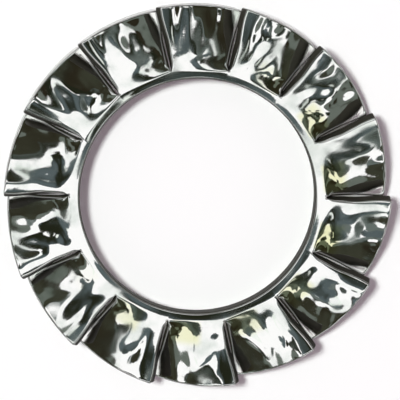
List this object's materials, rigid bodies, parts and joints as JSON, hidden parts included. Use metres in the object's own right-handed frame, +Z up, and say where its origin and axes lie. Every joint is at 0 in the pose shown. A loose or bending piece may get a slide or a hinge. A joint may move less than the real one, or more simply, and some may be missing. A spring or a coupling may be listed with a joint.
{
  "type": "lock washer",
  "caption": "Externally serrated lock washer: a thin round spring-steel ring with overlapping twisted teeth, bright finish, lying flat.",
  "frame": {"origin": "on the bore's axis, at the height of the surface that the lowered tooth corners rest on", "axes": "+Z up along the bore's axis; +X along the centre line of one tooth"},
  "size_m": [0.0122, 0.0124, 0.0017],
  "materials": {
    "bright_steel": "bright polished and plated spring steel, mirror-like with soft dents from barrel finishing"
  },
  "bodies": {
    "root": {"lock_washer": "bright_steel"}
  },
  "joints": []
}
